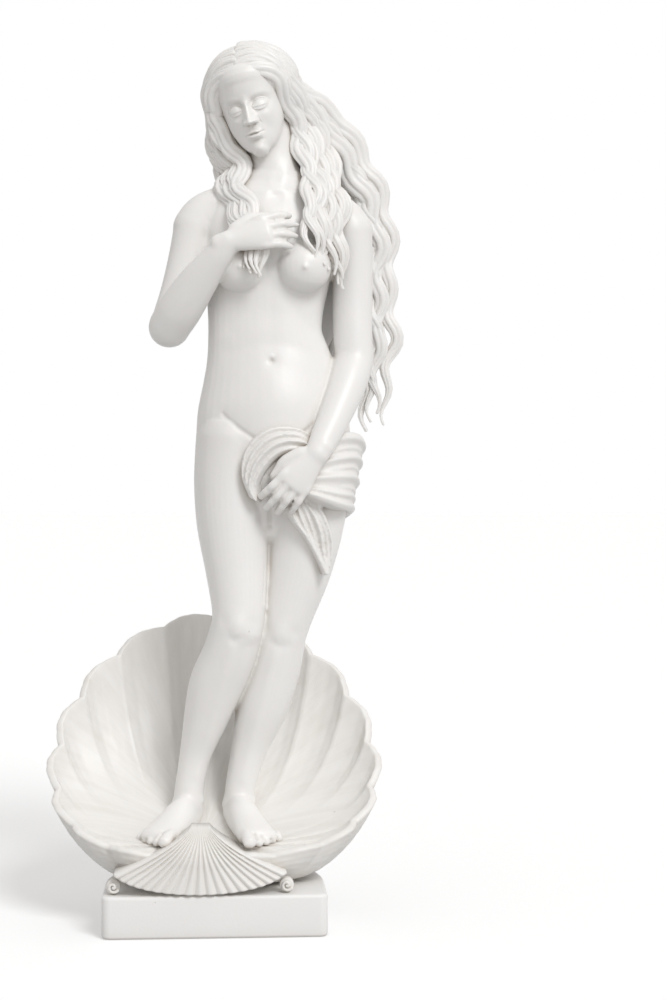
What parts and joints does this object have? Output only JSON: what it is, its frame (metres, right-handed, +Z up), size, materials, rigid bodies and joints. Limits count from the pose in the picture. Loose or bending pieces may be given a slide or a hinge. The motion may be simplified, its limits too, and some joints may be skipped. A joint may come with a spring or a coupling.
{
  "type": "aphrodite statue",
  "caption": "White cast-marble statuette of a classical goddess standing in an open scallop shell on a low plinth, holding her gathered mantle.",
  "frame": {"origin": "centre of the plinth's underside", "axes": "+Z up along the figure, -Y the side the figure faces, +X her left"},
  "size_m": [0.2462, 0.139, 0.5939],
  "materials": {
    "plinth_marble": "satin cast marble, marble dust in resin",
    "statue_marble": "satin cast marble, marble dust in resin, soft sheen"
  },
  "bodies": {
    "root": {"plinth": "plinth_marble", "aphrodite_in_shell": "statue_marble"}
  },
  "joints": []
}
